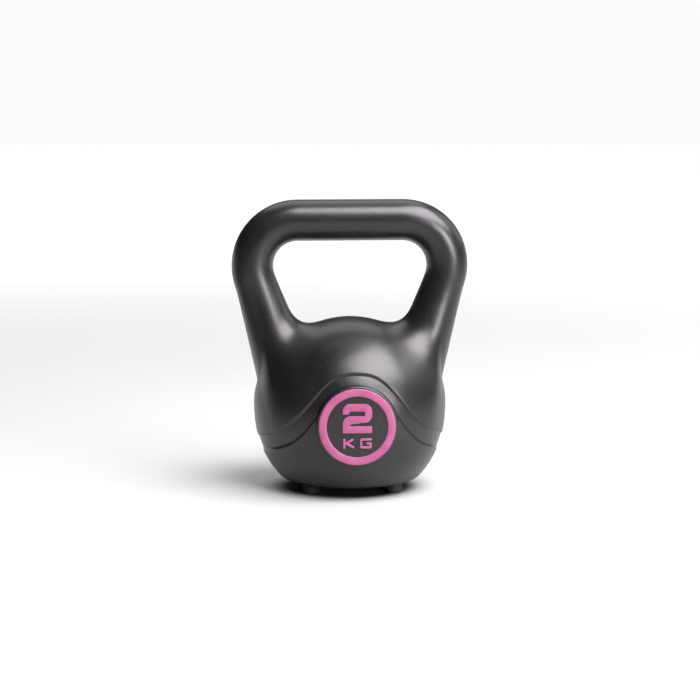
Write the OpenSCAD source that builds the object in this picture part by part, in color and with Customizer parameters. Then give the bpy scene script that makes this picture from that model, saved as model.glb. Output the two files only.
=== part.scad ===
// Cement-filled kettlebell: a blow-moulded shell with a solid core, a base plug and four feet.
// The origin is on the floor under the middle of the body. +Z is up and the front badge faces -Y.

/* [Overall] */
// Height from the floor to the top of the grip
overall_h = 190; // [180:1:230]
// Thickness of the moulded wall
wall = 2.5; // [1.5:0.1:3.5]

/* [Body] */
// Diameter of the round body
body_d = 125; // [110:1:150]
// Height of the body's centre above the floor
body_z = 50.5; // [46:0.5:60]
// How far the bevel round the flat base cuts into it
base_bevel = 2; // [1:0.5:3]
// Angle between that bevel and the floor
bevel_angle = 22; // [15:1:30]

/* [Handle] */
// Diameter of the grip bar and of the bends at its ends
grip_d = 27; // [22:0.5:33]
// Half the length of the straight grip bar, where each bend has its centre
grip_half_l = 34.5; // [28:0.5:42]
// Radius of each bend, to the middle of the bar
bend_r = 29.5; // [24:0.5:36]
// Angle between each leg and the vertical
leg_lean = 18; // [10:0.5:22]
// Angle by which a leg's side flares away from its middle on the way down
leg_flare = 5.4; // [3:0.1:7]
// Height of each leg's end, inside the body, above the body's centre
leg_end_h = 4; // [0:0.5:10]

/* [Badge] */
// Diameter of each flat badge face
badge_d = 50.5; // [48:0.5:56]
// Width of the slope between a badge's face and the body
badge_rim = 1.8; // [1:0.1:3]
// Height of that slope, by which the badge's face stands out of the body
badge_rise = 2.7; // [2:0.1:3.5]
// How far the badge's centre lies below the body's centre
badge_drop = 1; // [0:0.5:2]
// Margin between the coloured ring and the edge of the badge's face
ring_margin = 0.75; // [0.5:0.05:2]
// Width of the coloured ring's band
ring_w = 5; // [3:0.5:6]
// Bevel on the edges of the coloured ring
ring_bevel = 0.4; // [0.2:0.1:0.6]
// Height of the raised marks above the badge's face
mark_h = 0.8; // [0.7:0.1:1.2]

/* [Numeral] */
// Width of the numeral
numeral_w = 18.8; // [15:0.1:22]
// Height of the numeral
numeral_h = 18.8; // [15:0.1:22]
// Width of the numeral's strokes
numeral_stroke = 4.7; // [3.5:0.1:5]
// Height of the gap inside the numeral's bowl
bowl_gap = 3; // [2:0.1:4]
// Outer radius of the numeral's round corners
numeral_corner = 4.7; // [2:0.1:5]

/* [Unit letters] */
// Height of the unit letters
letter_h = 6.6; // [5:0.1:7]
// Width of each unit letter
letter_w = 7.5; // [6:0.1:8]
// Gap between the two letters
letter_gap = 3.2; // [2:0.1:4]
// Space between the numeral and the letters
line_gap = 3.3; // [2:0.1:4]
// How far the numeral and letters together lie above the badge's centre
marks_rise = 0.5; // [0:0.1:1]
// Clearance between the ring and the corners of the numeral, which the marks are scaled to keep
marks_gap = 1.9; // [1:0.1:4]
// Width of the letters' strokes
letter_stroke = 1.5; // [1:0.1:1.8]
// Outer radius of the second letter's corners
letter_corner = 1.2; // [0.5:0.1:1.4]

/* [Feet] */
// Height of the base above the floor
foot_stand = 6; // [4:0.5:7]
// Diameter of each rubber foot
foot_d = 11; // [8:0.5:13]
// Depth of the pocket that each foot is glued into
foot_seat = 1.2; // [0.8:0.1:1.4]
// Bevel round the bottom of each foot
foot_bevel = 1; // [0.5:0.1:2]
// Distance between the left and right feet
foot_gap_x = 54; // [48:1:58]
// Distance between the front and rear feet
foot_gap_y = 42; // [36:1:46]

/* [Filler plug] */
// Bore of the filler neck
neck_d = 26; // [18:1:30]
// Wall of the filler neck
neck_wall = 2.2; // [1.6:0.1:3]
// Length of the filler neck, from the outside of the base
neck_l = 8; // [6:0.5:12]
// Diameter of the plug's flange
plug_flange_d = 34; // [32:1:36]
// Thickness of the plug's flange
plug_flange_t = 2; // [1.4:0.1:2.6]
// Wall of the plug's skirt
plug_wall = 1.6; // [1.2:0.1:2.4]
// How far the plug's snap bead stands out past the neck's bore
snap_bead = 0.6; // [0.3:0.1:1]
// Height of each slope of the snap bead
snap_slope = 1.4; // [1:0.1:2]

/* [Fits] */
// Gap between the core and the inside of the shell, where the cement has shrunk
shrink_gap = 0.2; // [0.1:0.05:0.5]
// Radial clearance of the plug in its neck
plug_clearance = 0.1; // [0.05:0.05:0.3]
// Radial clearance of each foot in its pocket
foot_clearance = 0.1; // [0.05:0.05:0.3]
// Air space between the plug and the core
plug_air = 2; // [1:0.5:5]

/* [Hidden] */
$fn = 96;

shell_colour = [0.23, 0.22, 0.225];
cement_colour = [0.62, 0.6, 0.56];
rubber_colour = [0.05, 0.05, 0.05];
plug_colour = [0.12, 0.12, 0.12];
mark_colour = [0.88, 0.48, 0.69];

body_r = body_d / 2;
grip_r = grip_d / 2;
grip_z = overall_h - grip_r;
bend_z = grip_z - bend_r;
bend_turn = 90 + leg_lean;
leg_l = (bend_z - bend_r * sin(leg_lean) - body_z - leg_end_h) / cos(leg_lean);
badge_z = body_z - badge_drop;
badge_foot_r = badge_d / 2 + badge_rim;
badge_y = sqrt(pow(body_r, 2) - pow(badge_foot_r, 2)) + badge_rise;
ring_r = badge_d / 2 - ring_margin;
marks_h = numeral_h + line_gap + letter_h;
letters_base = marks_rise - marks_h / 2;
numeral_base = letters_base + letter_h + line_gap;
marks_reach = norm([numeral_w / 2, numeral_base + numeral_h]);
marks_scale = (ring_r - ring_w - marks_gap) / marks_reach;
neck_r = neck_d / 2;
neck_outer_r = neck_r + neck_wall;
skirt_r = neck_r - plug_clearance;
skirt_l = neck_l + 2 * snap_slope;
foot_r = foot_d / 2;
foot_x = foot_gap_x / 2;
foot_y = foot_gap_y / 2;
front = 0;
back = 180;
beyond = 1;
// The bar and the legs run this far into each bend, and are this much thinner there
lap_l = 1;
lap_step = 0.04;
rounding_fn = 32;

// Places its children on a badge's face, drawn as seen from outside
module on_badge(turn) {
    rotate([0, 0, turn]) translate([0, -badge_y, badge_z]) rotate([90, 0, 0]) children();
}

// The round body, drawn inset by a given distance from its outer surface
module body_form(inset) {
    r = body_r - inset;
    base = foot_stand + inset - body_z;
    flat_r = sqrt(r * r - base * base) - base_bevel;
    translate([0, 0, body_z]) rotate_extrude() intersection() {
        circle(r);
        polygon([[0, base], [flat_r, base], [flat_r + r, base + r * tan(bevel_angle)], [r, r], [0, r]]);
    }
}

// One bend and its leg, which widens on its way down and ends inside the body
module handle_side(inset) {
    r = grip_r - inset;
    translate([grip_half_l, 0, bend_z]) {
        rotate([90, 0, 0]) rotate([0, 0, -leg_lean])
            rotate_extrude(angle = bend_turn) translate([bend_r, 0]) circle(r);
        rotate([0, leg_lean, 0]) translate([bend_r, 0, -leg_l]) rotate_extrude() polygon([
            [0, 0],
            [r + leg_l * tan(leg_flare), 0],
            [r - lap_step, leg_l],
            [r - lap_step, leg_l + lap_l],
            [0, leg_l + lap_l]]);
    }
}

module handle_form(inset) {
    bar_l = 2 * (grip_half_l + lap_l);
    translate([-bar_l / 2, 0, grip_z]) rotate([0, 90, 0])
        cylinder(h = bar_l, r = grip_r - inset - lap_step);
    for (turn = [front, back]) rotate([0, 0, turn]) handle_side(inset);
}

// The whole outer form or, with an inset, the space inside its wall, flat behind each badge
module bell_form(inset) {
    difference() {
        union() {
            body_form(inset);
            handle_form(inset);
        }
        for (turn = [front, back]) on_badge(turn) translate([0, 0, -inset])
            cylinder(h = body_r, r = body_r);
    }
}

// A badge's round platform. Its sloped rim carries on down to below the body's surface.
module badge() {
    translate([0, 0, -2 * badge_rise])
        cylinder(h = 2 * badge_rise, r1 = badge_d / 2 + 2 * badge_rim, r2 = badge_d / 2);
}

module foot_places() {
    for (x = [-foot_x, foot_x], y = [-foot_y, foot_y]) translate([x, y, foot_stand]) children();
}

module shell() {
    color(shell_colour) difference() {
        union() {
            bell_form(0);
            for (turn = [front, back]) on_badge(turn) badge();
        }
        difference() {
            bell_form(wall);
            translate([0, 0, foot_stand]) cylinder(h = neck_l, r = neck_outer_r);
        }
        translate([0, 0, foot_stand - beyond]) cylinder(h = neck_l + 2 * beyond, r = neck_r);
        foot_places() translate([0, 0, -beyond])
            cylinder(h = foot_seat + beyond, r = foot_r + foot_clearance);
    }
}

// The cast core fills the shell except for a pocket over the neck and the plug
module core() {
    color(cement_colour) difference() {
        bell_form(wall + shrink_gap);
        translate([0, 0, foot_stand]) cylinder(h = skirt_l + plug_air, r = neck_outer_r + shrink_gap);
    }
}

module filler_plug() {
    bead_r = neck_r + snap_bead;
    inner_r = skirt_r - plug_wall;
    color(plug_colour) translate([0, 0, foot_stand]) rotate_extrude() polygon([
        [0, -plug_flange_t],
        [plug_flange_d / 2, -plug_flange_t],
        [plug_flange_d / 2, 0],
        [skirt_r, 0],
        [skirt_r, neck_l],
        [bead_r, neck_l + snap_slope],
        [skirt_r, skirt_l],
        [inner_r, skirt_l],
        [inner_r, 0],
        [0, 0]]);
}

module foot(x, y) {
    color(rubber_colour) translate([x, y, 0]) rotate_extrude() polygon([
        [0, 0],
        [foot_r - foot_bevel, 0],
        [foot_r, foot_bevel],
        [foot_r, foot_stand + foot_seat],
        [0, foot_stand + foot_seat]]);
}

module ring(turn) {
    inner_r = ring_r - ring_w;
    color(mark_colour) on_badge(turn) rotate_extrude() polygon([
        [inner_r, 0],
        [ring_r, 0],
        [ring_r, mark_h - ring_bevel],
        [ring_r - ring_bevel, mark_h],
        [inner_r + ring_bevel, mark_h],
        [inner_r, mark_h - ring_bevel]]);
}

// A box from its lower left to its upper right corner, with round corners
module round_box(low, high, r) {
    hull() for (x = [low.x + r, high.x - r], y = [low.y + r, high.y - r])
        translate([x, y]) circle(r, $fn = rounding_fn);
}

// The numeral's bowl, hook and foot, from its lower left corner
module numeral_outline() {
    w = numeral_w;
    s = numeral_stroke;
    bowl_top = numeral_h - s;
    bowl_floor = bowl_top - bowl_gap;
    bowl_base = bowl_floor - s + 0.8;
    hook_end = bowl_floor + bowl_gap / 3;
    difference() {
        round_box([0, bowl_base], [w, numeral_h], numeral_corner);
        translate([-beyond, bowl_floor]) square([w - s + beyond, bowl_gap]);
        translate([-beyond, bowl_base - beyond]) square([w / 2 + beyond, hook_end - bowl_base + beyond]);
    }
    difference() {
        round_box([0, -w], [2 * w, bowl_floor], numeral_corner);
        translate([-beyond, -2 * w]) square([4 * w, 2 * w]);
        polygon([[s, s], [w - s, bowl_base], [w - s, bowl_floor + beyond], [3 * w, bowl_floor + beyond],
                 [3 * w, s]]);
        translate([w, -beyond]) square([2 * w, s + 2 * beyond]);
    }
}

module numeral(turn) {
    color(mark_colour) on_badge(turn) linear_extrude(mark_h) scale(marks_scale)
        translate([-numeral_w / 2, numeral_base]) numeral_outline();
}

module letter_stroke_line(from, to) {
    hull() for (end = [from, to]) translate(end) circle(letter_stroke / 2, $fn = rounding_fn);
}

module first_letter_outline() {
    s = letter_stroke / 2;
    low = [s, s];
    high = [s, letter_h - s];
    fork = [s, letter_h * 0.42];
    letter_stroke_line(low, high);
    letter_stroke_line(fork, [letter_w - s, letter_h - s]);
    letter_stroke_line([letter_w * 0.35, letter_h * 0.55], [letter_w - s, s]);
}

module second_letter_outline() {
    s = letter_stroke;
    difference() {
        round_box([0, 0], [letter_w, letter_h], letter_corner);
        translate([s, s]) square([letter_w - 2 * s, letter_h - 2 * s]);
        translate([letter_w / 2, letter_h / 2]) square([letter_w, letter_h / 2 - s]);
    }
    translate([letter_w / 2, letter_h / 2 - s / 2]) square([letter_w / 2, s]);
}

module unit_letters(turn) {
    line_w = 2 * letter_w + letter_gap;
    color(mark_colour) on_badge(turn) linear_extrude(mark_h) scale(marks_scale)
        translate([-line_w / 2, letters_base]) {
            first_letter_outline();
            translate([letter_w + letter_gap, 0]) second_letter_outline();
        }
}

shell();
core();
filler_plug();
foot(-foot_x, -foot_y);  // foot_front_left
foot(foot_x, -foot_y);  // foot_front_right
foot(-foot_x, foot_y);  // foot_rear_left
foot(foot_x, foot_y);  // foot_rear_right
ring(front);  // ring_front
numeral(front);  // numeral_front
unit_letters(front);  // unit_letters_front
ring(back);  // ring_back
numeral(back);  // numeral_back
unit_letters(back);  // unit_letters_back
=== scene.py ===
import math

import bmesh
import bpy
import numpy as np
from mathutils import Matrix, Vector


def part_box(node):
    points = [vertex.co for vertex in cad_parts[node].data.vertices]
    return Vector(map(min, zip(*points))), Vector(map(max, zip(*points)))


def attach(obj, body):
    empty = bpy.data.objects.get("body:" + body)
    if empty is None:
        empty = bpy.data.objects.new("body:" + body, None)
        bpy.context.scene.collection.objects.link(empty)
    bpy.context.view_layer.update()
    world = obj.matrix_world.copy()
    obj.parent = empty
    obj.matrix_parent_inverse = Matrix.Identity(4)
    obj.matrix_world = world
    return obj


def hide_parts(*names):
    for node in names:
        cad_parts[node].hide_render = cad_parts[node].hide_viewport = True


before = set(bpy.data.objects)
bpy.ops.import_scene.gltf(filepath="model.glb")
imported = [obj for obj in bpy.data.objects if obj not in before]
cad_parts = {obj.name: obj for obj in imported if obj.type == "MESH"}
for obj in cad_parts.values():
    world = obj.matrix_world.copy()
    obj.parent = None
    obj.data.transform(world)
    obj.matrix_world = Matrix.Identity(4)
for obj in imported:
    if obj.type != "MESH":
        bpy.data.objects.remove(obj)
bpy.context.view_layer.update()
mm = 0.001
print("frame loaded")


def nodeBox(name):
    low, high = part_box(name)
    return np.array(low), np.array(high)


shellLow, shellHigh = nodeBox("shell")
ringLow, ringHigh = nodeBox("ring_front")
plugLow, plugHigh = nodeBox("filler_plug")
baseHeight = shellLow[2]
gripTop = shellHigh[2]
badgeFace = -ringHigh[1]
markTop = -ringLow[1]
badgeHeight = (ringLow[2] + ringHigh[2]) / 2
ringRadius = (ringHigh[0] - ringLow[0]) / 2


# Places count values from low to high, closer together where density is larger.
def spread(count, density, low, high, closed=False):
    fine = np.linspace(low, high, 4001)
    weight = density(fine)
    total = np.concatenate([[0], np.cumsum((weight[1:] + weight[:-1]) / 2)])
    steps = np.linspace(0, total[-1], count, endpoint=not closed)
    return np.interp(steps, total, fine)


# Makes a mesh from points[u, v]: a quad between each four neighbours, round the end where it wraps.
def gridMesh(name, points, wrapU=False, wrapV=False):
    rows, columns = points.shape[:2]
    u = np.arange(rows if wrapU else rows - 1)[:, None]
    v = np.arange(columns if wrapV else columns - 1)[None, :]
    nextU = (u + 1) % rows
    nextV = (v + 1) % columns
    corners = [u * columns + v, nextU * columns + v, nextU * columns + nextV, u * columns + nextV]
    quads = np.stack([np.broadcast_to(c, (u.size, v.size)) for c in corners], axis=-1).reshape(-1, 4)
    flat = points.reshape(-1, 3)
    p0, p1, p2, p3 = (flat[quads[:, i]] for i in range(4))
    volume = np.einsum("ij,ij->", p0, np.cross(p1, p2)) + np.einsum("ij,ij->", p0, np.cross(p2, p3))
    if volume < 0:  # the faces would point inwards
        quads = quads[:, ::-1]
    mesh = bpy.data.meshes.new(name)
    mesh.vertices.add(len(flat))
    mesh.vertices.foreach_set("co", flat.astype(np.float32).ravel())
    mesh.loops.add(quads.size)
    mesh.loops.foreach_set("vertex_index", quads.astype(np.int32).ravel())
    mesh.polygons.add(len(quads))
    mesh.polygons.foreach_set("loop_start", np.arange(0, quads.size, 4, dtype=np.int32))
    mesh.update(calc_edges=True)
    mesh.validate()
    mesh.shade_smooth()
    piece = bpy.data.objects.new(name, mesh)
    bpy.context.scene.collection.objects.link(piece)
    return piece


# Merges the doubled points at poles and ends, and marks the edges sharper than an angle.
def closePoles(piece, sharpAngle=None):
    work = bmesh.new()
    work.from_mesh(piece.data)
    bmesh.ops.remove_doubles(work, verts=work.verts, dist=1e-7)
    bmesh.ops.recalc_face_normals(work, faces=work.faces)
    if sharpAngle:
        for edge in work.edges:
            edge.smooth = not (edge.is_manifold and edge.calc_face_angle(0) > sharpAngle)
    work.to_mesh(piece.data)
    work.free()
    return piece


# Replaces each corner of an outline with an arc of its own radius, tangent to both sides.
def roundCorners(points, radii, closed=True, stepAngle=9):
    points = np.asarray(points, float)
    count = len(points)
    out = []
    for i in range(count):
        here = points[i]
        radius = radii[i]
        if radius == 0 or (not closed and i in (0, count - 1)):
            out.append(here[None])
            continue
        before = points[i - 1] - here
        after = points[(i + 1) % count] - here
        before /= np.linalg.norm(before)
        after /= np.linalg.norm(after)
        opening = math.acos(np.clip(before @ after, -1, 1))
        reach = radius / math.tan(opening / 2)
        bisector = before + after
        centre = here + bisector / np.linalg.norm(bisector) * radius / math.sin(opening / 2)
        start = here + before * reach - centre
        turn = math.copysign(math.pi - opening, before[1] * after[0] - before[0] * after[1])
        steps = max(2, int(math.degrees(abs(turn)) / stepAngle) + 1)
        angle = np.linspace(0, turn, steps)
        out.append(centre + np.stack([start[0] * np.cos(angle) - start[1] * np.sin(angle),
                                      start[0] * np.sin(angle) + start[1] * np.cos(angle)], axis=-1))
    return np.concatenate(out)


# Turns a profile of (radius, height) about an axis. place maps (x, y, height) into the part's frame.
def turned(name, profile, place, sides=128, sharpAngle=None):
    angle = np.linspace(0, 2 * np.pi, sides, endpoint=False)[:, None]
    radius, height = profile[:, 0][None], profile[:, 1][None]
    local = np.stack([radius * np.cos(angle), radius * np.sin(angle), height + 0 * angle], axis=-1)
    return closePoles(gridMesh(name, place(local), wrapU=True), sharpAngle)


# Maps a drawing on a badge (right, up, out of the badge) into the part's frame, for one side.
def onBadge(side):
    sign = -1 if side == "front" else 1

    def place(local):
        return np.stack([-sign * local[..., 0], sign * (badgeFace + local[..., 2]),
                         badgeHeight + local[..., 1]], axis=-1)
    return place


def finishPiece(piece, material, slot, *nodes):
    piece.data.materials.clear()
    piece.data.materials.append(material)
    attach(piece, "root")
    if nodes:
        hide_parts(*nodes)
    return piece


# One value in a shader: an output socket that arithmetic can be written on.
class Sock:

    def __init__(self, graph, socket):
        self.graph = graph
        self.socket = socket

    def calc(self, operation, *values):
        return self.graph.add("ShaderNodeMath", {"operation": operation}, dict(enumerate(values)))

    def __add__(self, other):
        return self.calc("ADD", self, other)

    def __radd__(self, other):
        return self.calc("ADD", other, self)

    def __sub__(self, other):
        return self.calc("SUBTRACT", self, other)

    def __rsub__(self, other):
        return self.calc("SUBTRACT", other, self)

    def __mul__(self, other):
        return self.calc("MULTIPLY", self, other)

    def __rmul__(self, other):
        return self.calc("MULTIPLY", other, self)

    def __truediv__(self, other):
        return self.calc("DIVIDE", self, other)

    # 0 below low, 1 above high and a smooth rise between.
    def ramp(self, low, high):
        return self.graph.add("ShaderNodeMapRange", {"interpolation_type": "SMOOTHSTEP"},
                              {"Value": self, "From Min": low, "From Max": high})


# The nodes of one material or of the world. place holds the coordinates that its patterns read.
class Graph:

    def __init__(self, owner, coordinates="Object"):
        owner.use_nodes = True
        self.owner = owner
        self.tree = owner.node_tree
        self.tree.nodes.clear()
        self.place = self.add("ShaderNodeTexCoord", {}, {}, coordinates)

    def add(self, kind, settings, values, output=0):
        node = self.tree.nodes.new(kind)
        for key, value in settings.items():
            setattr(node, key, value)
        for key, value in values.items():
            if isinstance(value, Sock):
                self.tree.links.new(value.socket, node.inputs[key])
            else:
                node.inputs[key].default_value = value
        return Sock(self, node.outputs[output])

    def axis(self, name):
        return self.add("ShaderNodeSeparateXYZ", {}, {0: self.place}, name)

    # How far the coordinates are from a point.
    def farFrom(self, point):
        return self.add("ShaderNodeVectorMath", {"operation": "DISTANCE"}, {0: self.place, 1: point}, 1)

    def noise(self, scale, detail=2.0, roughness=0.5):
        return self.add("ShaderNodeTexNoise", {},
                        {"Vector": self.place, "Scale": scale, "Detail": detail, "Roughness": roughness})

    def mix(self, factor, first, second):
        return self.add("ShaderNodeMix", {"data_type": "RGBA"},
                        {"Factor": factor, 6: first, 7: second}, 2)

    def bump(self, height, distance, strength=1.0, below=None):
        values = {"Height": height, "Distance": distance, "Strength": strength}
        if below:
            values["Normal"] = below
        return self.add("ShaderNodeBump", {}, values)

    def finish(self, **values):
        sockets = {name.replace("_", " "): value for name, value in values.items()}
        shader = self.add("ShaderNodeBsdfPrincipled", {}, sockets)
        output = self.tree.nodes.new("ShaderNodeOutputMaterial")
        self.tree.links.new(shader.socket, output.inputs["Surface"])
        return self.owner


def newMaterial(name):
    return Graph(bpy.data.materials.new(name))


shellCoat = {
    "dark": (0.0064, 0.0057, 0.0061, 1),
    "light": (0.0086, 0.0077, 0.0082, 1),
    "fleck": (0.075, 0.073, 0.074, 1),
    "scuff": (0.08, 0.079, 0.076, 1),
    "roughness": 0.29,
    "grainHeight": 0.000022,     # metres, as every bump height here
    "peelHeight": 0.00006,
    "handHeights": (0.150, 0.168),
    "footHeights": (0.007, 0.013),
}


# Charcoal polyethylene: a fine mould grain, faint cloudy patches and a grip that hands have smoothed.
def satinShell():
    c = shellCoat
    g = newMaterial("satinShell")
    height = g.axis("Z")
    cloud = g.noise(38, 3)
    grain = g.noise(2600, 2, 0.6)
    fleck = g.noise(900, 2)
    gripWear = height.ramp(*c["handHeights"])
    footScuff = (1 - height.ramp(*c["footHeights"])) * g.noise(150, 6, 0.65).ramp(0.42, 0.85)
    tone = g.mix(cloud.ramp(0.35, 0.7), c["dark"], c["light"])
    tone = g.mix(fleck.ramp(0.63, 0.72) * 0.25, tone, c["fleck"])
    tone = g.mix(footScuff * 0.3, tone, c["scuff"])
    rough = c["roughness"] + cloud * 0.10 + footScuff * 0.15 - gripWear * 0.03
    orangePeel = g.bump(g.noise(210, 2), c["peelHeight"])
    normal = g.bump(grain, c["grainHeight"], 1.0, orangePeel)
    return g.finish(Base_Color=tone, Roughness=rough, Normal=normal, IOR=1.5)


markCoat = {
    "deep": (0.27, 0.055, 0.145, 1),
    "pale": (0.31, 0.072, 0.17, 1),
    "roughness": 0.42,
    "stippleHeight": 0.00004,
}


# Satin pink colour coat, cloudy between a deeper and a paler tone, with a fine stipple.
def pinkCoat():
    c = markCoat
    g = newMaterial("pinkCoat")
    cloud = g.noise(120, 3)
    stipple = g.noise(1700, 2)
    tone = g.mix(cloud.ramp(0.35, 0.68), c["deep"], c["pale"])
    normal = g.bump(stipple, c["stippleHeight"])
    return g.finish(Base_Color=tone, Roughness=c["roughness"] + cloud * 0.12, Normal=normal, IOR=1.47)


rubber = {
    "black": (0.012, 0.012, 0.012, 1),
    "dust": (0.07, 0.068, 0.064, 1),
    "dustHeight": 0.003,
    "roughness": 0.72,
}


# Matt black rubber with a dry, dusty bloom near the floor.
def footRubber():
    c = rubber
    g = newMaterial("footRubber")
    dust = (1 - g.axis("Z").ramp(0.0, c["dustHeight"])) * g.noise(500, 3).ramp(0.4, 0.65)
    tone = g.mix(dust * 0.6, c["black"], c["dust"])
    normal = g.bump(g.noise(2200, 2), 0.00004)
    return g.finish(Base_Color=tone, Roughness=c["roughness"] + dust * 0.15, Normal=normal, IOR=1.5)


plugCoat = {
    "dark": (0.014, 0.014, 0.015, 1),
    "light": (0.022, 0.022, 0.023, 1),
    "roughness": 0.5,
}


# Black plug plastic with a moulded stipple.
def plugPlastic():
    c = plugCoat
    g = newMaterial("plugPlastic")
    cloud = g.noise(90, 3)
    tone = g.mix(cloud.ramp(0.4, 0.7), c["dark"], c["light"])
    normal = g.bump(g.noise(1500, 2), 0.00005)
    return g.finish(Base_Color=tone, Roughness=c["roughness"] + cloud * 0.1, Normal=normal, IOR=1.5)


cement = {
    "grain": (0.22, 0.205, 0.185, 1),
    "binder": (0.42, 0.40, 0.37, 1),
    "pit": (0.12, 0.11, 0.10, 1),
    "pitHeight": 0.0003,
}


# Dry cement and sand: pale binder with darker grains and small pits.
def castCement():
    c = cement
    g = newMaterial("castCement")
    sand = g.noise(700, 4, 0.6)
    pits = g.noise(240, 3).ramp(0.62, 0.7)
    tone = g.mix(sand.ramp(0.4, 0.62), c["grain"], c["binder"])
    tone = g.mix(pits * 0.7, tone, c["pit"])
    normal = g.bump(sand * 0.5 - pits, c["pitHeight"])
    return g.finish(Base_Color=tone, Roughness=0.9, Normal=normal)


shellFinish = satinShell()
pinkFinish = pinkCoat()
rubberFinish = footRubber()
plugFinish = plugPlastic()
cementFinish = castCement()
print("finishes made")


shell = {
    "bodyRadius": 62.5 * mm,
    "bodyHeight": 50.5 * mm,
    "baseRounding": 3.2 * mm,
    "sideSwell": 1.5 * mm,       # the body is fuller under each leg
    "sideSwellHeight": 68 * mm,
    "swellSpread": 14 * mm,      # how far up and down it reaches
    "swellTurn": 0.6,            # and how far round, in radians
    "flatSet": 0.8 * mm,         # the flats lie this far behind the badges' faces
    "gripRadius": 13.2 * mm,
    "gripHalfLength": 34.4 * mm,
    "bendRadius": 29.5 * mm,
    "legLean": math.radians(18),
    "legFlare": math.tan(math.radians(5.4)),
    "flareStart": 6 * mm,        # the flare grows over this length below the bend
    "legDepth": 0.28,            # a leg grows this much deeper than it is wide
    "depthFrom": 5 * mm,         # from here below the bend
    "depthTo": 60 * mm,          # to here
    "legEnd": 42 * mm,           # each leg stops at this height, inside the body
    "innerBlend": 18 * mm,       # fillet between a leg and the dome
    "outerBlend": 1.5 * mm,      # crease between a leg and the body's side
    "innerSide": 0.3,            # cosine round the leg, from outermost, at which the fillet is whole
    "outerSide": 0.95,           # and at which only the crease is left
    "seamBead": 0.3 * mm,        # parting line
    "seamWidth": 0.5 * mm,
    "seamFoot": 9 * mm,          # it starts at this height
    "seamFull": 14 * mm,
    "pivotHeight": 140 * mm,     # the axis of the half-planes of rays, inside the opening
    "pivotGap": 0.2 * mm,
    "rayLength": 100 * mm,
    "acrossRows": 304,
    "aroundRows": 324,
}

wave = {
    "upperSide": 33 * mm,        # height of the upper line at the body's sides
    "upperArch": 41 * mm,        # how far it arches up over the badge
    "upperTilt": 7.3 * mm,
    "upperSpan": math.radians(30.5),
    "archRoundness": 0.17,       # 0 is flattest over the badge
    "lowerSide": 27 * mm,
    "lowerArch": 42 * mm,
    "lowerTilt": 5 * mm,
    "lowerSpan": math.radians(27.3),
    "wallStart": 2.0 * mm,       # the upper shell's edge starts to turn in this far above the upper line
    "wallDepth": 3.4 * mm,       # and goes in this far, behind the ribbon
    "wallWidth": 3.2 * mm,
    "ribbonDepth": 1.35 * mm,    # at the front
    "sideDepth": 0.9 * mm,       # and at the sides
    "bowlDepth": 0.15 * mm,
    "lipWidth": 0.9 * mm,
    "sideLip": 3.5 * mm,
    "grooveDepth": 0.45 * mm,
    "grooveWidth": 0.5 * mm,
    "overlap": 4 * mm,           # how far the ribbon runs on behind the upper shell
    "rayLength": 80 * mm,
    "columns": 432,
    "ribbonRows": 40,
    "bowlRows": 64,
}


def smoothStep(value, low, high):
    t = np.clip((value - low) / (high - low), 0, 1)
    return t * t * (3 - 2 * t)


# 0 above a line and 1 a width below it: a straight slope with eased ends.
def easedRamp(distance, width):
    t = np.clip(-distance / width, 0, 1)
    return 0.5 * t + 0.5 * t * t * (3 - 2 * t)


# The smaller of two distances, rounded where they meet: a parabola over the reach.
def blendMin(a, b, reach):
    h = np.maximum(reach - np.abs(a - b), 0) / reach
    return np.minimum(a, b) - h * h * reach / 4


def blendMax(a, b, reach):
    return -blendMin(-a, -b, reach)


# A line round the body: level at the sides, arched like 1 / (1 + a t^2 + (1 - a) t^4). Also its slope.
def waveLine(turn, side, arch, tilt, span):
    t = turn / span
    soft = wave["archRoundness"]
    bell = 1 / (1 + soft * t ** 2 + (1 - soft) * t ** 4)
    height = side + arch * bell + tilt * np.cos(turn)
    slope = -arch * (2 * soft * t + 4 * (1 - soft) * t ** 3) * bell ** 2 / span - tilt * np.sin(turn)
    return height, slope


# How far a point of the round body is above each of the two lines, and how near the front it is: the point
# is moved along its ray to the ball, and its height over the line is divided by the line's steepness there.
def wavePlace(x, y, z):
    s, w = shell, wave
    radius = np.sqrt(x * x + y * y + (z - s["bodyHeight"]) ** 2) + 1e-9
    level = np.hypot(x, y) / radius
    turn = np.arctan2(np.abs(x), np.abs(y) + 1e-9)
    height = s["bodyHeight"] + s["bodyRadius"] * (z - s["bodyHeight"]) / radius
    upper, upperSlope = waveLine(turn, w["upperSide"], w["upperArch"], w["upperTilt"], w["upperSpan"])
    lower, lowerSlope = waveLine(turn, w["lowerSide"], w["lowerArch"], w["lowerTilt"], w["lowerSpan"])
    run = s["bodyRadius"] * np.maximum(level, 0.2)
    aboveUpper = (height - upper) / np.hypot(level, upperSlope / run)
    aboveLower = (height - lower) / np.hypot(level, lowerSlope / run)
    return aboveUpper, aboveLower, np.cos(turn)


# The upper shell is full above the upper line and turns in below it, by an eased ramp.
def edgeRelief(x, y, z):
    aboveUpper, _, _ = wavePlace(x, y, z)
    return wave["wallDepth"] * easedRamp(aboveUpper - wave["wallStart"], wave["wallWidth"])


# The ribbon is sunk. At the lower line a lip rises to the bowl, with a fine groove along it like exp(-d^2).
def bowlRelief(x, y, z):
    w = wave
    _, aboveLower, front = wavePlace(x, y, z)
    ribbon = w["sideDepth"] + (w["ribbonDepth"] - w["sideDepth"]) * front
    lip = w["sideLip"] + (w["lipWidth"] - w["sideLip"]) * smoothStep(front, 0.2, 0.7)
    pushed = ribbon - (ribbon - w["bowlDepth"] * front) * easedRamp(aboveLower, lip)
    groove = w["grooveDepth"] * smoothStep(front, 0.15, 0.6)
    return pushed + groove * np.exp(-(aboveLower / w["grooveWidth"]) ** 2)


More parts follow.
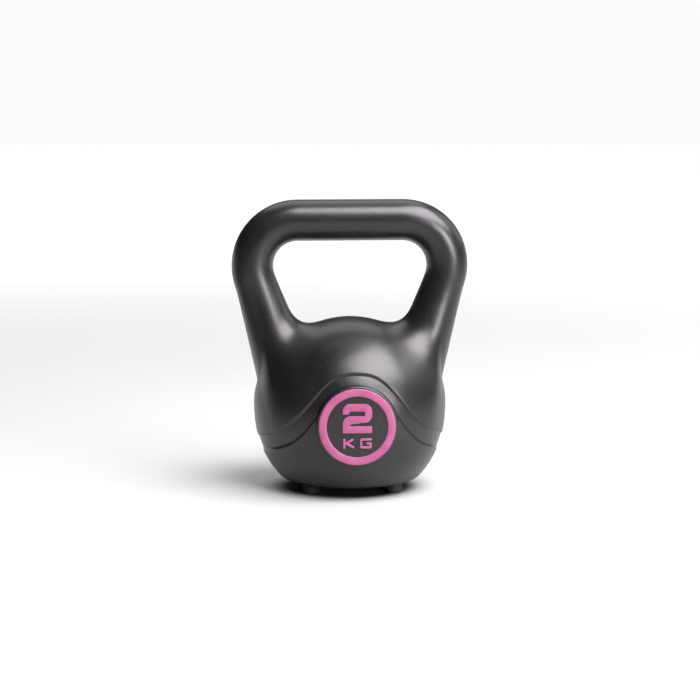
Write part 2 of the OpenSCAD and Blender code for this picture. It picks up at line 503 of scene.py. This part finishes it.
# Distance to the handle: the nearest of a bar, a bend and a flared leg. Also how far outward of the leg.
def handleField(x, y, z):
    s = shell
    r = s["gripRadius"]
    out = np.abs(x) - s["gripHalfLength"]
    up = z - (gripTop - r - s["seamBead"] - s["bendRadius"])
    bar = np.hypot(np.hypot(up - s["bendRadius"], y), np.maximum(out, 0)) - r
    angle = np.clip(np.arctan2(up, out), -s["legLean"], np.pi / 2)
    bend = np.sqrt((out - s["bendRadius"] * np.cos(angle)) ** 2
                   + (up - s["bendRadius"] * np.sin(angle)) ** 2 + y * y) - r
    sine, cosine = math.sin(s["legLean"]), math.cos(s["legLean"])
    fromOut = out - s["bendRadius"] * cosine
    fromUp = up + s["bendRadius"] * sine
    down = -fromOut * sine - fromUp * cosine
    outward = fromOut * cosine - fromUp * sine
    start = s["flareStart"]
    length = np.maximum(down, 0)
    legRadius = r + s["legFlare"] * (np.sqrt(length ** 2 + start ** 2) - start)
    deep = y / (1 + s["legDepth"] * smoothStep(down, s["depthFrom"], s["depthTo"]))
    leg = np.hypot(np.hypot(outward, deep), np.minimum(down, 0)) - legRadius
    leg = np.maximum(leg, s["legEnd"] - z)
    return np.minimum(np.minimum(bar, bend), leg), outward


# Distance to the round body, with a relief, flats behind the badges and a rounded flat base.
def bodyField(x, y, z, relief, bottom):
    s = shell
    side = np.arctan2(np.abs(x), np.abs(y) + 1e-9)
    swell = s["sideSwell"] * np.exp(-((z - s["sideSwellHeight"]) / s["swellSpread"]) ** 2
                                    - ((np.pi / 2 - side) / s["swellTurn"]) ** 2)
    ball = np.sqrt(x * x + y * y + (z - s["bodyHeight"]) ** 2) - s["bodyRadius"] - swell
    ball = ball + relief(x, y, z)
    ball = np.maximum(ball, np.abs(y) - badgeFace + s["flatSet"])
    return blendMax(ball, bottom - z, s["baseRounding"])


# The bead along the parting line, like exp(-(y / width)^2), which fades out at the base.
def seam(y, z):
    s = shell
    return s["seamBead"] * np.exp(-(y / s["seamWidth"]) ** 2) * smoothStep(z, s["seamFoot"], s["seamFull"])


# Distance to the upper shell: body and handle blended, with a bead along the parting line.
def shellField(x, y, z):
    s = shell
    handle, outward = handleField(x, y, z)
    crease = smoothStep(outward / np.hypot(outward, y), s["innerSide"], s["outerSide"])
    reach = s["innerBlend"] + (s["outerBlend"] - s["innerBlend"]) * crease
    body = bodyField(x, y, z, edgeRelief, baseHeight + wave["wallDepth"])
    return blendMin(body, handle, reach) - seam(y, z)


def bowlField(x, y, z):
    return bodyField(x, y, z, bowlRelief, baseHeight) - seam(y, z)


# Narrows low and high, in 34 halvings, to the length at which each ray leaves the solid.
def halve(isInside, low, high):
    for _ in range(34):
        length = (low + high) / 2
        inside = isInside(length)
        low = np.where(inside, length, low)
        high = np.where(inside, high, length)
    return low


# Rays in half-planes that turn about the opening, each from the middle of the section, to the surface.
def buildShell():
    s = shell
    pivotHeight = s["pivotHeight"]

    def acrossDensity(a):  # closer through the body
        return 1 + 3.0 / (1 + (np.abs(a) / 0.75) ** 8)

    def aroundDensity(b):  # closer at the parting line, inside and outside, and over the faces of the body
        folded = np.abs(b)
        bead = np.exp(-(folded / 0.02) ** 2) + np.exp(-((np.pi - folded) / 0.02) ** 2)
        face = 1 / (1 + (np.abs(folded - 1.72) / 0.68) ** 6)
        return 0.75 + 6 * bead + 1.2 * face

    across = spread(s["acrossRows"], acrossDensity, -np.pi, np.pi, closed=True)[:, None]
    around = spread(s["aroundRows"], aroundDensity, -np.pi, np.pi, closed=True)[None, :]
    armX, armZ = np.sin(across), -np.cos(across)

    reach = np.linspace(2 * mm, 160 * mm, 1200)[None, :]
    inside = shellField(armX * reach, 0 * armX * reach, pivotHeight + armZ * reach) < 0
    first = reach[0, np.argmax(inside, axis=1)][:, None]
    last = reach[0, reach.size - 1 - np.argmax(inside[:, ::-1], axis=1)][:, None]
    middle = (first + last) / 2

    inward = np.cos(around) + 0 * across
    forward = np.sin(around) + 0 * across
    toPivot = (middle - s["pivotGap"]) / np.maximum(inward, 1e-6)  # no ray passes the half-planes' axis
    high = np.where(inward > 0, np.minimum(s["rayLength"], toPivot), s["rayLength"])

    def isInside(length):
        arm = middle - length * inward
        return shellField(armX * arm, -length * forward, pivotHeight + armZ * arm) < 0

    low = halve(isInside, np.zeros_like(inward), high)
    arm = middle - low * inward
    points = np.stack([armX * arm, -low * forward, pivotHeight + armZ * arm], axis=-1)
    piece = gridMesh("shell_skin", points, wrapU=True, wrapV=True)
    return finishPiece(piece, shellFinish, "shell", "shell")


# Rays from the body's middle, turn by height. Rows follow the wave's two lines, then close at both poles.
def buildBowl():
    s, w = shell, wave
    turn = spread(w["columns"], lambda a: 1 + 0.6 * np.cos(a) ** 2, -np.pi, np.pi, closed=True)[:, None]
    folded = np.arctan2(np.abs(np.sin(turn)), np.abs(np.cos(turn)))
    upper, _ = waveLine(folded, w["upperSide"], w["upperArch"], w["upperTilt"], w["upperSpan"])
    lower, _ = waveLine(folded, w["lowerSide"], w["lowerArch"], w["lowerTilt"], w["lowerSpan"])
    top = np.arcsin(np.clip((upper + w["overlap"] - s["bodyHeight"]) / s["bodyRadius"], -1, 1))
    line = np.arcsin((lower - s["bodyHeight"]) / s["bodyRadius"])

    def ribbonDensity(a):  # closer at the groove
        return 1 + 5 * np.exp(-((1 - a) / 0.15) ** 2)

    def bowlDensity(a):  # closer at the groove and at the base's edge
        return 1 + 6 * np.exp(-(a / 0.05) ** 2) + 2 * np.exp(-((a - 0.55) / 0.15) ** 2)

    ribbon = spread(w["ribbonRows"], ribbonDensity, 0, 1)[None, :]
    lip = spread(w["bowlRows"], bowlDensity, 0, 1)[None, 1:]
    rise = np.concatenate([top + (line - top) * ribbon, line + (-np.pi / 2 - line) * lip], axis=1)
    outX, outY, outZ = np.sin(turn) * np.cos(rise), -np.cos(turn) * np.cos(rise), np.sin(rise)

    def isInside(length):
        return bowlField(outX * length, outY * length, s["bodyHeight"] + outZ * length) < 0

    length = halve(isInside, np.zeros_like(outX), np.full_like(outX, w["rayLength"]))
    points = np.stack([outX * length, outY * length, s["bodyHeight"] + outZ * length], axis=-1)
    middle = np.broadcast_to(np.array([0, 0, s["bodyHeight"]]), (points.shape[0], 1, 3))
    piece = closePoles(gridMesh("bowl_skin", np.concatenate([middle, points], axis=1), wrapU=True))
    return finishPiece(piece, shellFinish, "shell")


shellSkin = buildShell()
bowlSkin = buildBowl()
print("shell made", len(shellSkin.data.polygons), "and", len(bowlSkin.data.polygons), "faces")


badge = {
    "margin": 1.3 * mm,          # the plate shows this far outside the ring
    "rimWidth": 0.5 * mm,
    "rimHeight": 2.7 * mm,
    "edgeRounding": 1.3 * mm,
}

ring = {
    "width": 5 * mm,
    "shoulder": 0.3,             # share of the ring's height that is upright at its edges
    "fullness": 2.6,             # power of the crown: higher is flatter on top
}


# A flat disc with a rounded edge and a sloped rim that runs on into the body.
def buildBadge(side):
    b = badge
    face, rim, drop = ringRadius + b["margin"], b["rimWidth"], b["rimHeight"]
    profile = roundCorners([(0, 0), (face, 0), (face + 2 * rim, -2 * drop), (0, -2 * drop)],
                           [0, b["edgeRounding"], 0, 0], closed=False, stepAngle=6)
    piece = turned("badge_plate_" + side, profile, onBadge(side), 192, math.radians(35))
    return finishPiece(piece, shellFinish, "shell")


# A band turned about the badge's middle, with a crown like h * (1 - |t|^p)^(1/p).
def buildRing(side):
    outer = ringRadius
    height = markTop - badgeFace
    t = np.sin(np.linspace(-np.pi / 2, np.pi / 2, 25))
    crown = (1 - np.abs(t) ** ring["fullness"]) ** (1 / ring["fullness"])
    radius = outer - ring["width"] * (1 - t) / 2
    rise = height * (ring["shoulder"] + (1 - ring["shoulder"]) * crown)
    profile = np.stack([radius, rise], axis=-1)
    foot = np.array([[outer, -0.1 * mm], [outer - ring["width"], -0.1 * mm]])
    profile = np.concatenate([foot[1:], profile, foot[:1], foot[1:]])
    piece = turned("ring_band_" + side, profile, onBadge(side), 192, math.radians(50))
    return finishPiece(piece, pinkFinish, "marking", "ring_" + side)


for side in ("front", "back"):
    buildBadge(side)
    buildRing(side)
print("badges made")


numeral = {
    "corners": [(0, 12.1), (0, 18.8), (18.8, 18.8), (18.8, 6.7), (12.5, 6.6), (4.8, 5.6), (4.8, 4.5),
                (18.8, 4.5), (18.8, 0), (0, 0), (0, 10.9), (14.1, 10.9), (14.1, 13.9), (4.3, 13.9),
                (4.3, 12.1)],
    "radii": [0.3, 4.7, 4.9, 4.7, 0, 0.4, 0.3, 0.6, 0.6, 0.4, 4.9, 0.5, 0.9, 1.0, 0.3],
    "edge": 0.29 * mm,
}

letters = {
    "first": [(0, 0), (1.5, 0), (1.5, 2.8), (6.6, 0.05), (7.5, 1.25), (3.4, 3.47), (7.0, 5.55), (6.1, 6.75),
              (1.5, 4.1), (1.5, 6.6), (0, 6.6)],
    "firstRadii": [0.4, 0.4, 0.1, 0.5, 0.5, 0.15, 0.5, 0.5, 0.1, 0.4, 0.4],
    "second": [(7.5, 5.1), (7.5, 6.6), (0, 6.6), (0, 0), (7.5, 0), (7.5, 3.95), (4.0, 3.95), (4.0, 2.55),
               (6.0, 2.55), (6.0, 1.5), (1.5, 1.5), (1.5, 5.1)],
    "secondRadii": [0.45, 0.5, 1.3, 1.3, 1.1, 0.5, 0.45, 0.45, 0.1, 0.2, 0.35, 0.35],
    "edge": 0.35 * mm,
}


# A flat-topped shape from an outline: upright walls, then a quarter-round edge in to a flat top.
def raisedShape(name, corners, radii, origin, edge, side):
    outline = roundCorners(np.array(corners) * mm, np.array(radii) * mm, stepAngle=7) + origin
    ahead = np.roll(outline, -1, axis=0) - outline
    keep = np.linalg.norm(ahead, axis=1) > 1e-6
    outline = outline[keep]
    ahead = np.roll(outline, -1, axis=0) - outline
    ahead /= np.linalg.norm(ahead, axis=1)[:, None]
    behind = np.roll(ahead, 1, axis=0)
    inwardAhead = np.stack([-ahead[:, 1], ahead[:, 0]], axis=-1)
    inwardBehind = np.stack([-behind[:, 1], behind[:, 0]], axis=-1)
    area = np.sum(outline[:, 0] * np.roll(outline[:, 1], -1) - outline[:, 1] * np.roll(outline[:, 0], -1))
    inward = (inwardAhead + inwardBehind) * np.sign(area)
    inward /= np.maximum(np.sum(inward * inward, axis=1) / 2, 1e-9)[:, None]
    height = markTop - badgeFace
    angle = np.linspace(0, np.pi / 2, 6)
    inset = np.concatenate([[0], edge * (1 - np.cos(angle))])
    rise = np.concatenate([[-0.1 * mm], height - edge + edge * np.sin(angle)])
    rings = outline[None] + inward[None] * inset[:, None, None]
    local = np.concatenate([rings, np.broadcast_to(rise[:, None, None], rings.shape[:2] + (1,))], axis=-1)
    points = onBadge(side)(local)
    count = outline.shape[0]
    here = np.arange(count)
    ahead = (here + 1) % count
    faces = []
    for level in range(len(inset) - 1):
        low, high = level * count, (level + 1) * count
        faces += np.stack([low + here, low + ahead, high + ahead, high + here], axis=-1).tolist()
    faces.append((here + (len(inset) - 1) * count).tolist())
    faces.append(here[::-1].tolist())
    mesh = bpy.data.meshes.new(name)
    mesh.from_pydata(points.reshape(-1, 3).tolist(), [], faces)
    mesh.shade_smooth()
    piece = bpy.data.objects.new(name, mesh)
    bpy.context.scene.collection.objects.link(piece)
    return closePoles(piece, math.radians(32))


# Joins pieces into one, which takes the first one's place.
def joined(name, pieces):
    work = bmesh.new()
    for piece in pieces:
        work.from_mesh(piece.data)
    work.to_mesh(pieces[0].data)
    work.free()
    for piece in pieces[1:]:
        bpy.data.objects.remove(piece)
    pieces[0].name = name
    return pieces[0]


# The numeral over the unit's two letters, placed by the frame's own marks.
def buildMarks(side):
    low, high = nodeBox("numeral_" + side)
    lettersLow, lettersHigh = nodeBox("unit_letters_" + side)
    drop = low[2] - badgeHeight
    halfWidth = (high[0] - low[0]) / 2
    piece = raisedShape("numeral_mark_" + side, numeral["corners"], numeral["radii"],
                        np.array([-halfWidth, drop]), numeral["edge"], side)
    finishPiece(piece, pinkFinish, "marking", "numeral_" + side)
    lettersHalf = (lettersHigh[0] - lettersLow[0]) / 2
    lettersDrop = lettersLow[2] - badgeHeight
    secondX = lettersHalf - max(x for x, _ in letters["second"]) * mm
    first = raisedShape("first_letter_" + side, letters["first"], letters["firstRadii"],
                        np.array([-lettersHalf, lettersDrop]), letters["edge"], side)
    second = raisedShape("second_letter_" + side, letters["second"], letters["secondRadii"],
                         np.array([secondX, lettersDrop]), letters["edge"], side)
    unit = joined("unit_marks_" + side, [first, second])
    finishPiece(unit, pinkFinish, "marking", "unit_letters_" + side)


for side in ("front", "back"):
    buildMarks(side)
print("marks made")


foot = {
    "edgeRounding": 1.4 * mm,
    "dishDepth": 0.4 * mm,
    "dishWidth": 2.4 * mm,
    "dishSlope": 0.6 * mm,
    "dishRounding": 0.3 * mm,
}

plug = {
    "edgeRounding": 0.7 * mm,
    "recessRadius": 10.5 * mm,
    "recessSlope": 0.8 * mm,
    "recessDepth": 0.9 * mm,
    "knobRadius": 3 * mm,
    "knobSlope": 0.5 * mm,
    "knobSet": 0.2 * mm,         # the knob stops this far short of the flange's face
    "softEdge": 0.3 * mm,
    "skirtRadius": 12.9 * mm,
    "skirtWall": 1.6 * mm,
}


# A turned pad: a shallow dish underneath, a round edge and an upright wall into its pocket.
def buildFoot(name):
    low, high = nodeBox(name)
    centre = (low + high) / 2
    radius = (high[0] - low[0]) / 2
    dish, depth, soft = foot["dishWidth"], foot["dishDepth"], foot["dishRounding"]
    corners = [(0, depth), (dish, depth), (dish + foot["dishSlope"], 0),
               (radius, 0), (radius, high[2]), (0, high[2])]
    profile = roundCorners(corners, [0, soft, soft, foot["edgeRounding"], 0, 0], closed=False)

    def place(local):
        return local + np.array([centre[0], centre[1], 0])
    piece = turned(name + "_pad", profile, place, 72, math.radians(40))
    return finishPiece(piece, rubberFinish, "foot_rubber", name)


# A turned cap: a flange with a round edge, a dished middle with a small knob, and a hidden skirt.
def buildPlug():
    flange = (plugHigh[0] - plugLow[0]) / 2
    bottom, top = plugLow[2], plugHigh[2]
    knobFace, recessFace = bottom + plug["knobSet"], bottom + plug["recessDepth"]
    recess, knob, soft = plug["recessRadius"], plug["knobRadius"], plug["softEdge"]
    skirt, inner = plug["skirtRadius"], plug["skirtRadius"] - plug["skirtWall"]
    corners = [(0, knobFace), (knob, knobFace), (knob + plug["knobSlope"], recessFace),
               (recess, recessFace), (recess + plug["recessSlope"], bottom), (flange, bottom),
               (flange, baseHeight), (skirt, baseHeight), (skirt, top),
               (inner, top), (inner, baseHeight), (0, baseHeight)]
    radii = [0, soft, soft, soft, soft, plug["edgeRounding"], 0.1 * mm, 0, 0, 0, 0, 0]
    profile = roundCorners(corners, radii, closed=False)
    piece = turned("filler_cap", profile, lambda local: local, 128, math.radians(40))
    return finishPiece(piece, plugFinish, "plug", "filler_plug")


for name in ("foot_front_left", "foot_front_right", "foot_rear_left", "foot_rear_right"):
    buildFoot(name)
buildPlug()
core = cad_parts["core"]
for materialSlot in core.material_slots:
    materialSlot.material = cementFinish
print("base made")


studio = {
    "floorRadius": 6.0,
    "paperTone": 0.33,
    "shadowTone": 0.004,         # painted contact shadow: the paper's tone right under the object
    "shadowEdge": (0.034, 0.047),
    "nearGlow": 0.35,            # painted light: a glow that the paper gives out beside the object, though it is no lamp
    "farGlow": 0.12,             # and more far behind it
    "backGlow": 0.50,            # most of all straight behind it
    "dimming": 0.6,              # share of the near glow that is lost far off at the sides and in front
    # painted soft shadow: the floor's glow is dimmed round this point
    "softShade": (-0.03, 0.045, 0),
    "paintedDarkTone": 0.03,            # a painted dark patch of floor to the left, which the body's left side mirrors
    "paintedDarkShare": 0.7,
    "horizon": (0.03, 0.09),     # how high the room's pale band reaches
    "roomTone": 0.03,
}

# azimuth, elevation, distance, width, height, power, tint
lights = {
    "key_softbox": (48, 56, 1.5, 1.5, 1.15, 74, (0.99, 0.955, 1.0)),
    "side_window": (38, 14, 1.6, 0.55, 0.6, 22, (0.99, 0.955, 1.0)),
    "right_card": (118, 28, 1.6, 1.0, 0.9, 4, (1.0, 0.98, 1.0)),
    "ceiling_bank": (180, 60, 1.5, 1.3, 1.3, 9, (1.0, 1.0, 1.0)),
}

camera = {
    "azimuth": -4.5,             # degrees round from the front, positive to the right
    "elevation": 7.7,
    "distance": 1.4,
    "lens": 109.4,
    "aim": 90.8 * mm,            # height above the floor
}


def aimed(obj, place, target):
    obj.location = place
    obj.rotation_euler = (Vector(target) - Vector(place)).to_track_quat("-Z", "Y").to_euler()
    bpy.context.scene.collection.objects.link(obj)


def direction(azimuth, elevation, distance, height=0.0):
    a, e = math.radians(azimuth), math.radians(elevation)
    return (distance * math.sin(a) * math.cos(e), -distance * math.cos(a) * math.cos(e),
            distance * math.sin(e) + height)


def areaLight(name, azimuth, elevation, distance, width, height, power, tint):
    data = bpy.data.lights.new(name, "AREA")
    data.shape = "RECTANGLE"
    data.size = width
    data.size_y = height
    data.energy = power
    data.color = tint
    aimed(bpy.data.objects.new(name, data), direction(azimuth, elevation, distance, 0.09), (0, 0, 0.09))


def grey(tone):
    return (tone, tone, tone, 1)


# A round sheet: radius by angle. It glows with painted light, more so behind the object; a painted shadow
# darkens it right under the object, a painted soft shade dims it at its left, and a painted dark patch lies
# further to the left.
def paperFloor():
    radius = np.array([0, 0.3, 1, 3, studio["floorRadius"]])[:, None]
    angle = np.linspace(0, 2 * np.pi, 96, endpoint=False)[None, :]
    points = np.stack([radius * np.cos(angle), radius * np.sin(angle), 0 * radius * angle], axis=-1)
    piece = closePoles(gridMesh("paper_floor", points, wrapV=True))
    g = newMaterial("paperPaintedGlowAndShade")
    away = g.farFrom((0, 0, 0))
    toBack = g.axis("Y") / away
    toLeft = 0 - g.axis("X") / away
    behind = toBack.ramp(-0.1, 0.5)
    # Painted dark patch: a band of floor to the left, 0.26 to 1.6 m out, is darkened and loses its glow.
    paintedDarkPatch = away.ramp(0.26, 0.40) * (1 - away.ramp(0.6, 1.6)) * toLeft.ramp(0.86, 0.97) * studio["paintedDarkShare"]
    # Painted light: the paper glows. There is no glow within 40 mm of the object's middle, as painted shade
    # round it, and less glow far off at the sides and in front.
    glow = (away.ramp(0.040, 0.062) * 0.7 + away.ramp(0.060, 0.16) * 0.3) * studio["nearGlow"]
    # Painted soft shadow: the glow is dimmed by up to a quarter near softShade, to the left of and behind
    # the object.
    glow = glow * (0.75 + g.farFrom(studio["softShade"]).ramp(0.03, 0.08) * 0.25)
    glow = glow * (1 - away.ramp(0.35, 0.9) * (1 - behind) * studio["dimming"]) * (1 - paintedDarkPatch)
    glow += away.ramp(0.5, 2.0) * behind * (studio["farGlow"] + toBack.ramp(0.2, 0.9) * studio["backGlow"])
    paper = studio["paperTone"]
    tone = g.mix(g.noise(3, 2).ramp(0.3, 0.7), (paper, paper, paper * 0.995, 1),
                 (paper * 0.97, paper * 0.97, paper * 0.965, 1))
    # Painted contact shadow: the paper is near black within shadowEdge of the object's middle.
    tone = g.mix(away.ramp(*studio["shadowEdge"]), grey(studio["shadowTone"]), tone)
    tone = g.mix(paintedDarkPatch, tone, grey(studio["paintedDarkTone"]))
    lit = g.mix(glow, grey(0), grey(1))
    paperFinish = g.finish(Base_Color=tone, Roughness=0.6, Emission_Color=lit, Emission_Strength=1.0)
    piece.data.materials.append(paperFinish)


# A dim room with a pale band along the horizon, brightest behind the object. It meets the floor's far tones.
def room():
    g = Graph(bpy.data.worlds.new("room"), "Generated")
    band = 1 - g.axis("Z").ramp(*studio["horizon"])
    behind = g.axis("Y").ramp(-0.1, 0.5)
    near, lost = studio["nearGlow"], studio["dimming"]
    sides = near * (1 - lost) + behind * (near * lost + studio["farGlow"])
    glow = band * (sides + g.axis("Y").ramp(0.2, 0.9) * studio["backGlow"])
    colour = g.mix(glow, grey(studio["roomTone"]), grey(1))
    background = g.add("ShaderNodeBackground", {}, {"Color": colour})
    output = g.tree.nodes.new("ShaderNodeOutputWorld")
    g.tree.links.new(background.socket, output.inputs["Surface"])
    bpy.context.scene.world = g.owner


def buildStudio():
    bpy.context.scene.view_settings.view_transform = "Standard"
    room()
    paperFloor()
    for name, values in lights.items():
        areaLight(name, *values)


def buildCamera():
    data = bpy.data.cameras.new("camera")
    data.lens = camera["lens"]
    data.sensor_width = 36
    data.clip_end = 20
    eye = direction(camera["azimuth"], camera["elevation"], camera["distance"], camera["aim"])
    obj = bpy.data.objects.new("camera", data)
    aimed(obj, eye, (0, 0, camera["aim"]))
    bpy.context.scene.camera = obj


buildStudio()
buildCamera()
print("studio made")
